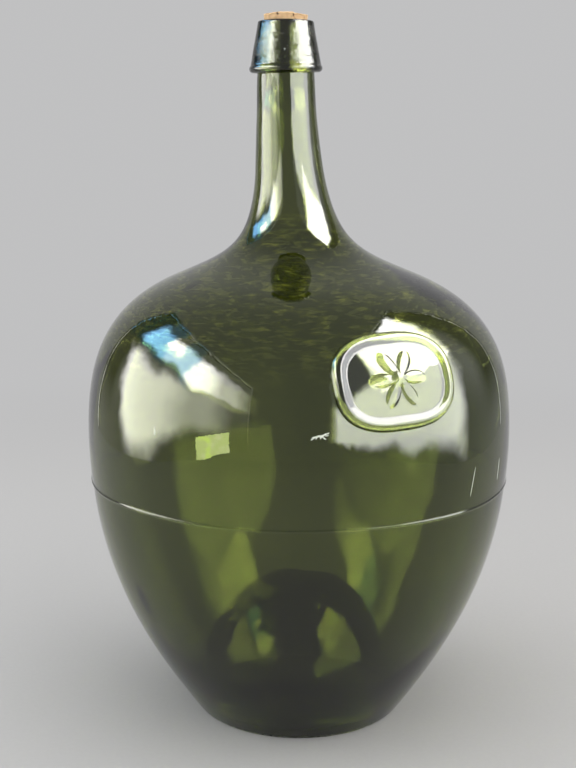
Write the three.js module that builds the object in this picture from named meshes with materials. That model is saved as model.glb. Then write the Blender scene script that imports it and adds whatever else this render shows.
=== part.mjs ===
// A blown glass demijohn with an applied lip, an applied seal, a cork and a paper tag.
// Lengths are in millimetres and angles in degrees. The body's axis is +Z, and the
// bottle stands on z = 0. The photographed front of the bottle faces -Y.
import * as THREE from 'three';
import { mergeVertices } from 'three/addons/utils/BufferGeometryUtils.js';

// Outside of the blown glass, as radii and heights
const RESTING_RING_RADIUS = 77;
const RESTING_RING_WIDTH = 6;
const HEEL_FLARE = 9;
const HEEL_HEIGHT = 11;
const HEEL_SLOPE = 54.3;
const BODY_RADIUS = 160;
const WIDEST_HEIGHT = 217;
const SHOULDER_RADIUS = 93;
const SHOULDER_HEIGHT = 334;
const SHOULDER_SLOPE = 23;
const NECK_ROOT_RADIUS = 23.6;
const NECK_ROOT_HEIGHT = 436;
const NECK_MOUTH_RADIUS = 18.6;
const MOUTH_HEIGHT = 517;

// How far each stretch of the outline bulges: the lengths of its curve handles
const HEEL_FOOT_BEND = 1;
const HEEL_BEND = 12;
const LOWER_SIDE_SWELL = 93;
const BELLY_SWELL_BELOW = 66;
const BELLY_SWELL_ABOVE = 50;
const SHOULDER_SWELL = 62;
const NECK_FLARE = 53;
const NECK_BLEND = 80;

// The neck was drawn a little to one side of the body's axis, and is upright in the lip
const NECK_LEAN = 9.8;
const LEAN_START_HEIGHT = 275;

// Thickness of the glass
const BODY_WALL = 4;
const HEEL_WALL = 8;
const NECK_WALL = 4.4;
const KICK_WALL = 7;
const HEEL_WALL_END_HEIGHT = 90;
const NECK_WALL_START_HEIGHT = 330;

// The pushed-up base, and the round groove inside between it and the wall
const KICK_HEIGHT = 89;
const KICK_SIDE_SWELL = 50;
const KICK_SIDE_DRAFT = 11;
const KICK_CROWN = 40;
const GROOVE_RADIUS = 79.5;
const GROOVE_HEIGHT = 11;
const GROOVE_ROUNDING = 4.5;
const PONTIL_MARK_RADIUS = 17;
const PONTIL_MARK_WIDTH = 5;
const PONTIL_MARK_RELIEF = 2;

// The line that the top edge of the dip mould left round the body
const MOULD_LINE_HEIGHT = 183;
const MOULD_LINE_WIDTH = 5;
const MOULD_LINE_RELIEF = 0.9;

// The tapered bore that the lipping tool left, which the cork fits
const BORE_MOUTH_RADIUS = 16.4;
const BORE_THROAT_RADIUS = 15.2;
const BORE_DEPTH = 44;
const BORE_BLEND = 16;

// The lip, a band of glass laid round the end of the neck
const LIP_HEIGHT = 37;
const LIP_RIM_THICKNESS = 2;
const LIP_SKIRT_THICKNESS = 6.1;
const LIP_SKIRT_ROUNDING = 3.6;
const LIP_RIM_ROUNDING = 1.2;

// The cork
const CORK_LENGTH = 38;
const CORK_PROUD = 6.5;
const CORK_EDGE_ROUNDING = 2.6;
const CORK_FOOT_CHAMFER = 1;

// The seal, an oval pad of glass stamped on the shoulder
const SEAL_WIDTH = 90;
const SEAL_HEIGHT = 67;
const SEAL_SQUARENESS = 2.6;
const SEAL_AZIMUTH = -64.6;
const SEAL_CENTRE_HEIGHT = 280;
const SEAL_TILT = 2;
const SEAL_PAD = 1.7;
const SEAL_RIM = 0.35;
const SEAL_RIM_WIDTH = 3;
const SEAL_BEAD_WIDTH = 10;
const SEAL_BEAD_RELIEF = 2.4;
const ROSETTE_RADIUS = 21;
const ROSETTE_PETALS = 6;
const ROSETTE_PETAL_WAIST = 0.3;
const ROSETTE_RELIEF = 1.8;
const ROSETTE_BOSS_RADIUS = 5.5;
const ROSETTE_BOSS_RELIEF = 1.2;

// The paper tag
const TAG_WIDTH = 24;
const TAG_HEIGHT = 15;
const TAG_AZIMUTH = -110.5;
const TAG_CENTRE_HEIGHT = 238;
const TAG_TILT = 9;
const TAG_THICKNESS = 0.4;
const TAG_TORN_CORNER = 5;

// Clearances
const SEAT_GAP = 0.35;
const CORK_CLEARANCE = 0.3;

// Facets
const BODY_SIDES = 56;
const NECK_SIDES = 48;
const SEAL_SECTORS = 72;
const SEAL_RINGS = 20;
const TAG_SECTORS = 32;
const BACKING_RINGS = 4;

const STRAIGHT_UP = new THREE.Vector3(0, 0, 1);
const LIP_FOOT_HEIGHT = MOUTH_HEIGHT - LIP_HEIGHT;
const THROAT_HEIGHT = MOUTH_HEIGHT - BORE_DEPTH;

const at = (radius, height) => new THREE.Vector2(radius, height);

const direction = (degrees) => {
  const angle = THREE.MathUtils.degToRad(degrees);
  return new THREE.Vector2(Math.cos(angle), Math.sin(angle));
};

const along = (start, way, length) => start.clone().addScaledVector(way, length);

// A bent stretch of outline, tangent to the given ways at its two ends
function stretch(start, startWay, startSwell, end, endWay, endSwell) {
  return new THREE.CubicBezierCurve(
    start,
    along(start, startWay, startSwell),
    along(end, endWay, -endSwell),
    end,
  );
}

// The outside, from the edge of the resting ring to the mouth
function outsideStretches() {
  const ringEdge = at(RESTING_RING_RADIUS + RESTING_RING_WIDTH / 2, 0);
  const heel = at(ringEdge.x + HEEL_FLARE, HEEL_HEIGHT);
  const widest = at(BODY_RADIUS, WIDEST_HEIGHT);
  const shoulder = at(SHOULDER_RADIUS, SHOULDER_HEIGHT);
  const neckRoot = at(NECK_ROOT_RADIUS, NECK_ROOT_HEIGHT);
  const mouth = at(NECK_MOUTH_RADIUS, MOUTH_HEIGHT);
  const outward = direction(0);
  const upward = direction(90);
  const heelWay = direction(HEEL_SLOPE);
  const shoulderWay = direction(180 - SHOULDER_SLOPE);
  const neckWay = mouth.clone().sub(neckRoot).normalize();
  return {
    heel: stretch(ringEdge, outward, HEEL_FOOT_BEND, heel, heelWay, HEEL_BEND),
    lowerSide: stretch(heel, heelWay, LOWER_SIDE_SWELL, widest, upward, BELLY_SWELL_BELOW),
    upperSide: stretch(widest, upward, BELLY_SWELL_ABOVE, shoulder, shoulderWay, SHOULDER_SWELL),
    flare: stretch(shoulder, shoulderWay, NECK_FLARE, neckRoot, neckWay, NECK_BLEND),
    neck: new THREE.LineCurve(neckRoot, mouth),
  };
}

const OUTSIDE = outsideStretches();

// Points on the outside, with the given number of steps on each stretch
function outsidePoints(steps) {
  const points = [OUTSIDE.heel.getPoint(0)];
  for (const [name, count] of Object.entries(steps)) {
    points.push(...OUTSIDE[name].getPoints(count).slice(1));
  }
  return points;
}

const FINE_OUTSIDE = outsidePoints({ heel: 40, lowerSide: 160, upperSide: 160, flare: 160, neck: 1 });

function outsideRadius(height) {
  const next = Math.max(1, FINE_OUTSIDE.findIndex((point) => point.y > height));
  const low = FINE_OUTSIDE[height >= MOUTH_HEIGHT ? FINE_OUTSIDE.length - 2 : next - 1];
  const high = FINE_OUTSIDE[height >= MOUTH_HEIGHT ? FINE_OUTSIDE.length - 1 : next];
  return THREE.MathUtils.mapLinear(height, low.y, high.y, low.x, high.x);
}

const neckShift = (height) => (
  -NECK_LEAN * THREE.MathUtils.smoothstep(height, LEAN_START_HEIGHT, LIP_FOOT_HEIGHT)
);

function wallThickness(height) {
  const heelShare = 1 - THREE.MathUtils.smoothstep(height, HEEL_HEIGHT, HEEL_WALL_END_HEIGHT);
  const neckShare = THREE.MathUtils.smoothstep(height, NECK_WALL_START_HEIGHT, NECK_ROOT_HEIGHT);
  return BODY_WALL + (HEEL_WALL - BODY_WALL) * heelShare + (NECK_WALL - BODY_WALL) * neckShare;
}

const boreRadius = (height) => THREE.MathUtils.mapLinear(
  height,
  THROAT_HEIGHT,
  MOUTH_HEIGHT,
  BORE_THROAT_RADIUS,
  BORE_MOUTH_RADIUS,
);

// The raised line of the mould, put into the outside's points
function withMouldLine(points) {
  const half = MOULD_LINE_WIDTH / 2;
  const kept = points.filter((point) => Math.abs(point.y - MOULD_LINE_HEIGHT) > MOULD_LINE_WIDTH);
  const relief = [[-half, 0], [0, MOULD_LINE_RELIEF], [half, 0]];
  for (const [offset, rise] of relief) {
    const height = MOULD_LINE_HEIGHT + offset;
    kept.push(at(outsideRadius(height) + rise, height));
  }
  return kept.sort((low, high) => low.y - high.y);
}

// The inside of the wall: each outside point moved inward by the glass's thickness
function insideWall() {
  const lowest = GROOVE_HEIGHT + GROOVE_ROUNDING + HEEL_WALL;
  const inside = [];
  for (const [name, count] of Object.entries({ lowerSide: 7, upperSide: 7, flare: 7, neck: 4 })) {
    for (let step = 1; step <= count; step += 1) {
      const point = OUTSIDE[name].getPoint(step / count);
      const way = OUTSIDE[name].getTangent(step / count);
      const moved = along(point, at(-way.y, way.x), wallThickness(point.y));
      if (moved.y > lowest && moved.y < THROAT_HEIGHT - BORE_BLEND) inside.push(moved);
    }
  }
  return inside;
}

// The underside of the kick, from the axis to the resting ring, with the round scar
// that the pontil rod left at the top
function kickUnderside() {
  const top = at(0, KICK_HEIGHT);
  const ring = at(RESTING_RING_RADIUS - RESTING_RING_WIDTH / 2, 0);
  const bend = new THREE.CubicBezierCurve(
    top,
    at(KICK_CROWN, KICK_HEIGHT),
    at(ring.x - KICK_SIDE_DRAFT, KICK_SIDE_SWELL),
    ring,
  );
  const side = bend.getPoints(7).filter((point) => point.x > PONTIL_MARK_RADIUS);
  const scar = [
    top,
    at(PONTIL_MARK_RADIUS - PONTIL_MARK_WIDTH, KICK_HEIGHT),
    at(PONTIL_MARK_RADIUS - PONTIL_MARK_WIDTH / 2, KICK_HEIGHT - PONTIL_MARK_RELIEF),
  ];
  return [...scar, ...side];
}

// The inside of the kick, from the groove to the axis
function kickInside() {
  const grooveEdge = at(GROOVE_RADIUS - GROOVE_ROUNDING, GROOVE_HEIGHT + GROOVE_ROUNDING);
  const top = at(0, KICK_HEIGHT + KICK_WALL);
  const bend = new THREE.CubicBezierCurve(
    grooveEdge,
    at(grooveEdge.x - GROOVE_ROUNDING, grooveEdge.y + KICK_SIDE_SWELL),
    at(KICK_CROWN + 2, top.y),
    top,
  );
  const groove = new THREE.EllipseCurve(
    GROOVE_RADIUS,
    GROOVE_HEIGHT + GROOVE_ROUNDING,
    GROOVE_ROUNDING,
    GROOVE_ROUNDING,
    0,
    Math.PI,
    true,
  );
  return [...groove.getPoints(5), ...bend.getPoints(7).slice(1)];
}

// Joins the seam and the poles of a turned shape and lets its triangles share corners
function closed(geometry) {
  geometry.deleteAttribute('normal');
  geometry.deleteAttribute('uv');
  const joined = mergeVertices(geometry, 1e-4);
  const corners = joined.index.array;
  const kept = [];
  for (let first = 0; first < corners.length; first += 3) {
    const [a, b, c] = corners.slice(first, first + 3);
    if (a !== b && b !== c && c !== a) kept.push(a, b, c);
  }
  joined.setIndex(kept);
  joined.computeVertexNormals();
  return joined;
}

// A shape turned about the Z axis from a profile of radii and heights
function turned(profile, sides) {
  const geometry = new THREE.LatheGeometry(profile, sides);
  geometry.rotateX(Math.PI / 2);
  return closed(geometry);
}

function leaned(geometry) {
  const place = geometry.attributes.position;
  for (let corner = 0; corner < place.count; corner += 1) {
    place.setX(corner, place.getX(corner) + neckShift(place.getZ(corner)));
  }
  geometry.computeVertexNormals();
  return geometry;
}

function glassVessel() {
  const outside = withMouldLine(
    outsidePoints({ heel: 3, lowerSide: 9, upperSide: 9, flare: 8, neck: 2 }),
  );
  const bore = [
    at(BORE_MOUTH_RADIUS, MOUTH_HEIGHT),
    at(BORE_THROAT_RADIUS, THROAT_HEIGHT),
  ];
  const profile = [
    ...kickUnderside(),
    ...outside,
    ...bore,
    ...insideWall().reverse(),
    ...kickInside(),
  ];
  return leaned(turned(profile, BODY_SIDES));
}

function appliedLip() {
  const skirt = LIP_FOOT_HEIGHT + LIP_SKIRT_ROUNDING;
  const rim = MOUTH_HEIGHT - LIP_RIM_ROUNDING;
  const neckFoot = outsideRadius(LIP_FOOT_HEIGHT);
  const skirtRound = new THREE.EllipseCurve(
    neckFoot + LIP_SKIRT_THICKNESS - LIP_SKIRT_ROUNDING,
    skirt,
    LIP_SKIRT_ROUNDING,
    LIP_SKIRT_ROUNDING,
    -Math.PI / 2,
    0,
  );
  const rimRound = new THREE.EllipseCurve(
    NECK_MOUTH_RADIUS + LIP_RIM_THICKNESS - LIP_RIM_ROUNDING,
    rim,
    LIP_RIM_ROUNDING,
    LIP_RIM_ROUNDING,
    0,
    Math.PI / 2,
  );
  const profile = [
    at(neckFoot + SEAT_GAP, LIP_FOOT_HEIGHT),
    ...skirtRound.getPoints(5),
    ...rimRound.getPoints(4),
    at(NECK_MOUTH_RADIUS + SEAT_GAP, MOUTH_HEIGHT),
    at(neckFoot + SEAT_GAP, LIP_FOOT_HEIGHT),
  ];
  return turned(profile, NECK_SIDES);
}

function corkStopper() {
  const top = MOUTH_HEIGHT + CORK_PROUD;
  const foot = top - CORK_LENGTH;
  const shoulder = top - CORK_EDGE_ROUNDING;
  const sideRadius = (height) => boreRadius(height) - CORK_CLEARANCE;
  const profile = [
    at(0, foot),
    at(sideRadius(foot) - CORK_FOOT_CHAMFER, foot),
    at(sideRadius(foot), foot + CORK_FOOT_CHAMFER),
    at(sideRadius(MOUTH_HEIGHT), MOUTH_HEIGHT),
    at(sideRadius(shoulder), shoulder),
    at(sideRadius(shoulder) - CORK_EDGE_ROUNDING / 2, top - CORK_EDGE_ROUNDING / 3),
    at(sideRadius(shoulder) - 2 * CORK_EDGE_ROUNDING, top - CORK_EDGE_ROUNDING / 8),
    at(0, top),
  ];
  return turned(profile, NECK_SIDES);
}

// How far a point lies outside the glass
const outsideBy = (point) => (
  Math.hypot(point.x - neckShift(point.z), point.y) - outsideRadius(point.z)
);

// The way that the glass faces at a point
function glassNormal(point) {
  const step = 0.5;
  const slope = (axis) => {
    const ahead = point.clone();
    const behind = point.clone();
    ahead[axis] += step;
    behind[axis] -= step;
    return outsideBy(ahead) - outsideBy(behind);
  };
  return new THREE.Vector3(slope('x'), slope('y'), slope('z')).normalize();
}

// A place on the glass, with the ways across it, up it and out of it
function placeOnGlass(azimuth, height, tilt) {
  const around = direction(azimuth);
  const radius = outsideRadius(height);
  const centre = new THREE.Vector3(
    neckShift(height) + radius * around.x,
    radius * around.y,
    height,
  );
  const out = glassNormal(centre);
  const across = STRAIGHT_UP.clone().cross(out).normalize();
  const up = out.clone().cross(across);
  const turn = THREE.MathUtils.degToRad(tilt);
  across.applyAxisAngle(out, turn);
  up.applyAxisAngle(out, turn);
  return { centre, across, up, out };
}

// Lays a flat point of a stamp on the glass and lifts it off by the given amount
function lay(place, flat, lift) {
  const point = place.centre.clone();
  point.addScaledVector(place.across, flat.x).addScaledVector(place.up, flat.y);
  for (let pass = 0; pass < 8; pass += 1) {
    const facing = glassNormal(point).dot(place.out);
    point.addScaledVector(place.out, -outsideBy(point) / facing);
  }
  return point.addScaledVector(glassNormal(point), lift);
}

// A closed solid over a stack of loops, which ends in a single point at each end
function skinned(startPoint, loops, endPoint) {
  const sectors = loops[0].length;
  const last = 1 + loops.length * sectors;
  const corners = [startPoint, ...loops.flat(), endPoint];
  const index = [];
  for (let sector = 0; sector < sectors; sector += 1) {
    const next = (sector + 1) % sectors;
    index.push(0, 1 + sector, 1 + next);
    for (let loop = 1; loop < loops.length; loop += 1) {
      const inner = 1 + (loop - 1) * sectors;
      const outer = inner + sectors;
      index.push(inner + sector, outer + sector, outer + next);
      index.push(inner + sector, outer + next, inner + next);
    }
    index.push(last - sectors + sector, last, last - sectors + next);
  }
  const geometry = new THREE.BufferGeometry().setFromPoints(corners);
  geometry.setIndex(index);
  geometry.computeVertexNormals();
  return geometry;
}

// A pad lying on the glass inside an outline, as thick at each point as the relief says
function padOnGlass(place, outline, rings, relief) {
  const loopAt = (share, lift) => outline.map((edge) => {
    const flat = edge.clone().multiplyScalar(share);
    return lay(place, flat, SEAT_GAP + lift(flat, edge));
  });
  const bare = () => 0;
  const loops = [];
  for (let ring = 1; ring <= rings; ring += 1) loops.push(loopAt(ring / rings, relief));
  for (let ring = BACKING_RINGS; ring >= 1; ring -= 1) loops.push(loopAt(ring / BACKING_RINGS, bare));
  const middle = at(0, 0);
  const front = lay(place, middle, SEAT_GAP + relief(middle, outline[0]));
  const back = lay(place, middle, SEAT_GAP);
  return skinned(front, loops, back);
}

// The oval with squared shoulders that the stamp pressed the pad to
function sealOutline() {
  const outline = [];
  for (let sector = 0; sector < SEAL_SECTORS; sector += 1) {
    const way = direction((360 * sector) / SEAL_SECTORS);
    const across = Math.abs(way.x / (SEAL_WIDTH / 2)) ** SEAL_SQUARENESS;
    const up = Math.abs(way.y / (SEAL_HEIGHT / 2)) ** SEAL_SQUARENESS;
    outline.push(way.multiplyScalar((across + up) ** (-1 / SEAL_SQUARENESS)));
  }
  return outline;
}

// Raised petals round a boss
function rosette(flat) {
  const fromMiddle = flat.length();
  const petal = Math.abs(Math.cos((ROSETTE_PETALS / 2) * flat.angle()));
  const reach = ROSETTE_RADIUS * (ROSETTE_PETAL_WAIST + (1 - ROSETTE_PETAL_WAIST) * petal);
  const petals = ROSETTE_RELIEF * Math.max(0, 1 - (fromMiddle / reach) ** 4);
  const boss = ROSETTE_BOSS_RELIEF * Math.max(0, 1 - (fromMiddle / ROSETTE_BOSS_RADIUS) ** 2);
  return petals + boss;
}

// Thickness of the seal: a pad with a melted rim, a bead round it and the rosette
function sealRelief(flat, edge) {
  const fromEdge = edge.length() - flat.length();
  const rimShare = Math.min(1, fromEdge / SEAL_RIM_WIDTH);
  const pad = SEAL_RIM + (SEAL_PAD - SEAL_RIM) * rimShare * (2 - rimShare);
  const beadShare = Math.min(1, fromEdge / SEAL_BEAD_WIDTH);
  return pad + SEAL_BEAD_RELIEF * Math.sin(Math.PI * beadShare) + rosette(flat);
}

function appliedSeal() {
  const place = placeOnGlass(SEAL_AZIMUTH, SEAL_CENTRE_HEIGHT, SEAL_TILT);
  return padOnGlass(place, sealOutline(), SEAL_RINGS, sealRelief);
}

// A strip of paper with one corner torn off
function tagOutline() {
  const halfWidth = TAG_WIDTH / 2;
  const halfHeight = TAG_HEIGHT / 2;
  const strip = new THREE.Shape([
    at(halfWidth, -halfHeight + TAG_TORN_CORNER / 2),
    at(halfWidth, halfHeight),
    at(-halfWidth, halfHeight),
    at(-halfWidth, -halfHeight),
    at(-TAG_TORN_CORNER, -halfHeight),
    at(0, -halfHeight + TAG_TORN_CORNER / 2),
  ]);
  strip.closePath();
  return strip.getSpacedPoints(TAG_SECTORS).slice(0, -1);
}

function paperTag() {
  const place = placeOnGlass(TAG_AZIMUTH, TAG_CENTRE_HEIGHT, TAG_TILT);
  return padOnGlass(place, tagOutline(), BACKING_RINGS, () => TAG_THICKNESS);
}

const GLASS = new THREE.MeshStandardMaterial({ color: 0x3f4a1c, roughness: 0.06, metalness: 0 });
const THICK_GLASS = new THREE.MeshStandardMaterial({ color: 0x353f18, roughness: 0.08, metalness: 0 });
const CORK = new THREE.MeshStandardMaterial({ color: 0xc9a67c, roughness: 0.85, metalness: 0 });
const PAPER = new THREE.MeshStandardMaterial({ color: 0xa5b469, roughness: 0.8, metalness: 0 });

function piece(name, geometry, material) {
  const mesh = new THREE.Mesh(geometry, material);
  mesh.name = name;
  return mesh;
}

// What turns about the mouth stands on the mouth's own axis
const mouth = new THREE.Group();
mouth.position.x = neckShift(MOUTH_HEIGHT);
mouth.add(
  piece('applied_lip', appliedLip(), THICK_GLASS),
  piece('cork_stopper', corkStopper(), CORK),
);

const demijohn = new THREE.Group();
demijohn.add(
  piece('glass_vessel', glassVessel(), GLASS),
  mouth,
  piece('applied_seal', appliedSeal(), THICK_GLASS),
  piece('paper_tag', paperTag(), PAPER),
);

export default demijohn;
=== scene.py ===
import math
import random
from bisect import bisect

import bmesh
import bpy
from mathutils import Matrix, Vector, noise
from mathutils.geometry import interpolate_bezier

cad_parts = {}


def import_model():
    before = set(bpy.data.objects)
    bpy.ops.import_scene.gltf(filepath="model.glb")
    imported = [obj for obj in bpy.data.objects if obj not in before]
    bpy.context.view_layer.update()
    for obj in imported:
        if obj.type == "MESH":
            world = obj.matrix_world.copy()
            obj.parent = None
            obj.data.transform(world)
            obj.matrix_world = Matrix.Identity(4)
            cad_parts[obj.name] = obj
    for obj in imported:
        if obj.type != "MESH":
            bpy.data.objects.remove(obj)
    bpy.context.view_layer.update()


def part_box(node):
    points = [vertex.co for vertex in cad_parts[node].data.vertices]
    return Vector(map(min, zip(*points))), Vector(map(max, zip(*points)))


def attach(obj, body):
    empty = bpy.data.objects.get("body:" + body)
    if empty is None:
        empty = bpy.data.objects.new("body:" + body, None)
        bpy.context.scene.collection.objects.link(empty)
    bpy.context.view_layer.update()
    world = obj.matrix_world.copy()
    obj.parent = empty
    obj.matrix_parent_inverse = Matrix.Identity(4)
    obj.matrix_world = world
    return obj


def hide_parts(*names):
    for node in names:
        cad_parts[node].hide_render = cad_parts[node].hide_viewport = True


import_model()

MM = 0.001
UP = Vector((0, 0, 1))


# Sizes that the frame gives
_, vessel_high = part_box("glass_vessel")
lip_low, lip_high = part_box("applied_lip")
cork_low, cork_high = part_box("cork_stopper")
BODY_RADIUS = vessel_high.y
MOUTH_HEIGHT = vessel_high.z
NECK_LEAN = -(lip_low.x + lip_high.x) / 2
LIP_FOOT_HEIGHT = lip_low.z

# Outside of the blown glass, as radii and heights
RING_RADIUS = 77 * MM
RING_WIDTH = 6 * MM
HEEL_FLARE = 9 * MM
HEEL_HEIGHT = 11 * MM
HEEL_SLOPE = 54.3
WIDEST_HEIGHT = 217 * MM
SHOULDER_RADIUS = 93 * MM
SHOULDER_HEIGHT = 334 * MM
SHOULDER_SLOPE = 23
NECK_ROOT_RADIUS = 23.6 * MM
NECK_ROOT_HEIGHT = 436 * MM
NECK_MOUTH_RADIUS = 18.6 * MM
LEAN_START_HEIGHT = 275 * MM

# How far each stretch of the outline bulges
HEEL_FOOT_BEND = 1 * MM
HEEL_BEND = 12 * MM
LOWER_SIDE_SWELL = 93 * MM
BELLY_SWELL_BELOW = 66 * MM
BELLY_SWELL_ABOVE = 50 * MM
SHOULDER_SWELL = 62 * MM
NECK_FLARE = 53 * MM
NECK_BLEND = 80 * MM

# Thickness of the glass
BODY_WALL = 4 * MM
HEEL_WALL = 8 * MM
NECK_WALL = 4.4 * MM
KICK_WALL = 7 * MM
HEEL_WALL_END_HEIGHT = 90 * MM
NECK_WALL_START_HEIGHT = 330 * MM

# The pushed-up base and the groove inside it
KICK_HEIGHT = 89 * MM
KICK_SIDE_SWELL = 50 * MM
KICK_SIDE_DRAFT = 11 * MM
KICK_CROWN = 40 * MM
KICK_INSIDE_WIDENING = 2 * MM
GROOVE_RADIUS = 79.5 * MM
GROOVE_HEIGHT = 11 * MM
GROOVE_ROUNDING = 4.5 * MM
PONTIL_MARK_RADIUS = 17 * MM
PONTIL_MARK_WIDTH = 5 * MM
PONTIL_MARK_RELIEF = 2 * MM
PONTIL_MARK_FOOT_HEIGHT = KICK_HEIGHT - 20 * MM

# The line that the top edge of the dip mould left
MOULD_LINE_HEIGHT = 183 * MM
MOULD_LINE_WIDTH = 1.8 * MM
MOULD_LINE_RELIEF = 0.75 * MM
MOULD_LEDGE_DEPTH = 0.45 * MM
MOULD_LEDGE_REACH = 22 * MM
MOULD_LEDGE_EDGE = (-0.5 * MM, 1.2 * MM)
MOULD_LINE_WOBBLE = 1.2 * MM

# The bore and the lip, with the height, the width and the length of the lip's dents
BORE_MOUTH_RADIUS = 16.4 * MM
BORE_THROAT_RADIUS = 15.2 * MM
THROAT_HEIGHT = MOUTH_HEIGHT - 44 * MM
BORE_BLEND = 16 * MM
MOUTH_ROUNDING = 1 * MM
LIP_SKIRT_THICKNESS = 6.1 * MM
LIP_SKIRT_ROUNDING = 3.3 * MM
LIP_SKIRT_ROLL = 46
LIP_RIM_THICKNESS = 2 * MM
LIP_RIM_ROUNDING = 1.2 * MM
LIP_SAG_HEIGHT = 14 * MM
LIP_DENT = (0.22 * MM, 16 * MM, 14 * MM)
LIP_DENT_START = 3 * MM
FUSED_DEPTH = 0.6 * MM

# The seal
SEAL_WIDTH = 90 * MM
SEAL_HEIGHT = 67 * MM
SEAL_SQUARENESS = 2.6
SEAL_AZIMUTH = -64.6
SEAL_CENTRE_HEIGHT = 280 * MM
SEAL_TILT = 2
SEAL_PAD = 1.7 * MM
SEAL_RIM_WIDTH = 3 * MM
SEAL_BEAD_WIDTH = 10 * MM
SEAL_BEAD_RELIEF = 2.4 * MM
ROSETTE_RADIUS = 21 * MM
ROSETTE_PETALS = 6
ROSETTE_PETAL_WAIST = 0.3
ROSETTE_RELIEF = 1.8 * MM
ROSETTE_BOSS_RADIUS = 5.5 * MM
ROSETTE_BOSS_RELIEF = 1.2 * MM
SEAL_SETTLING = 0.05 * MM

# The cork. Its chips and its broken edge start at shares of its radius.
CORK_CLEARANCE = 0.3 * MM
CORK_EDGE = 1.1 * MM
CORK_TOP_SINK = 0.55 * MM
CORK_TOP_CROWN = 0.9 * MM
CORK_BROKEN_EDGE = 0.8 * MM
CORK_CROWN_REACH = 3 * MM
CORK_LUMPS = 0.30 * MM
CORK_FINE_LUMPS = 0.16 * MM
CORK_PITS = 3.2 * MM
CORK_PIT_RARITY = 0.34
CORK_CHIPS = 2.6 * MM
CORK_CHIPS_START = 0.72
CORK_BROKEN_START = (0.30, 0.42)

# The paper tag. It slants by so much across for each step up, and up for each step across.
TAG_WIDTH = 24 * MM
TAG_HEIGHT = 15 * MM
TAG_AZIMUTH = -110.5
TAG_CENTRE_HEIGHT = 238 * MM
TAG_TILT = 9
TAG_THICKNESS = 0.14 * MM
TAG_GLUE = 0.06 * MM
TAG_CRINKLE = 0.05 * MM
TAG_TEAR = 1.7 * MM
TAG_TEAR_START = (-5 * MM, 3 * MM)
TAG_RAGGED = 0.5 * MM
TAG_RAGGED_WIDE = 0.4 * MM
TAG_SLANT = (0.087, 0.07)
TAG_FOOT_CURL = 0.35 * MM
TAG_FOOT_CURL_START = (4 * MM, 9 * MM)
TAG_SIDE_CURL = 0.3 * MM
TAG_SIDE_CURL_START = (9 * MM, 13 * MM)

# How finely each piece is turned
VESSEL_SIDES = 200
LIP_SIDES = 192
CORK_SIDES = 128
SEAL_SECTORS = 216
SEAL_RINGS = 52

# Steps along the heel, the lower side, the upper side, the flare and the neck
OUTSIDE_STEPS = (12, 72, 74, 54, 12)
INSIDE_STEPS = (6, 44, 42, 34, 10)
MEASURING_STEPS = (40, 200, 200, 200, 2)

# Steps along the smaller forms of the glass
MOULD_LINE_STEPS = 14
MOUTH_ROUNDING_STEPS = 4
BORE_STEPS = 12
BORE_BLEND_STEPS = 7
GROOVE_STEPS = 12
KICK_INSIDE_POINTS = 35
KICK_UNDERSIDE_POINTS = 44
LIP_SKIRT_STEPS = 18
LIP_FACE_STEPS = 26
LIP_RIM_STEPS = 8
LIP_INSIDE_STEPS = 10
LIP_FOOT_STEPS = 5
CORK_SIDE_STEPS = 30
CORK_FOOT_RINGS = 9
CORK_TOP_RINGS = 22
TAG_COLUMNS = 64
TAG_ROWS = 40


# Outline of the glass

def at(radius, height):
    return Vector((radius, height))


def direction(degrees):
    angle = math.radians(degrees)
    return Vector((math.cos(angle), math.sin(angle)))


def smooth(value, start, end):
    """0 before start, 1 after end, and an even rise between them."""
    share = min(1, max(0, (value - start) / (end - start)))
    return share * share * (3 - 2 * share)


def stretch(start, start_way, start_swell, end, end_way, end_swell, steps):
    """A bent stretch of outline, tangent to the given ways at its two ends."""
    return interpolate_bezier(
        start,
        start + start_way * start_swell,
        end - end_way * end_swell,
        end,
        steps + 1,
    )


def outside_points(heel, lower_side, upper_side, flare, neck):
    """The outside of the blown glass from the edge of the resting ring to the mouth."""
    ring_edge = at(RING_RADIUS + RING_WIDTH / 2, 0)
    heel_end = at(ring_edge.x + HEEL_FLARE, HEEL_HEIGHT)
    widest = at(BODY_RADIUS, WIDEST_HEIGHT)
    shoulder = at(SHOULDER_RADIUS, SHOULDER_HEIGHT)
    neck_root = at(NECK_ROOT_RADIUS, NECK_ROOT_HEIGHT)
    mouth = at(NECK_MOUTH_RADIUS, MOUTH_HEIGHT)
    outward = direction(0)
    upward = direction(90)
    heel_way = direction(HEEL_SLOPE)
    shoulder_way = direction(180 - SHOULDER_SLOPE)
    neck_way = (mouth - neck_root).normalized()
    stretches = (
        stretch(ring_edge, outward, HEEL_FOOT_BEND, heel_end, heel_way, HEEL_BEND, heel),
        stretch(heel_end, heel_way, LOWER_SIDE_SWELL, widest, upward, BELLY_SWELL_BELOW, lower_side),
        stretch(widest, upward, BELLY_SWELL_ABOVE, shoulder, shoulder_way, SHOULDER_SWELL, upper_side),
        stretch(shoulder, shoulder_way, NECK_FLARE, neck_root, neck_way, NECK_BLEND, flare),
        [neck_root.lerp(mouth, step / neck) for step in range(neck + 1)],
    )
    return [ring_edge] + [point for points in stretches for point in points[1:]]


FINE_OUTSIDE = outside_points(*MEASURING_STEPS)
FINE_HEIGHTS = [point.y for point in FINE_OUTSIDE]


def outside_radius(height):
    """Radius of the even outside at a height."""
    upper = min(len(FINE_OUTSIDE) - 1, max(1, bisect(FINE_HEIGHTS, height)))
    low, high = FINE_OUTSIDE[upper - 1], FINE_OUTSIDE[upper]
    return low.x + (high.x - low.x) * (height - low.y) / (high.y - low.y)


def neck_shift(height):
    """How far to the side the leaning neck has moved at a height."""
    return -NECK_LEAN * smooth(height, LEAN_START_HEIGHT, LIP_FOOT_HEIGHT)


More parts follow.
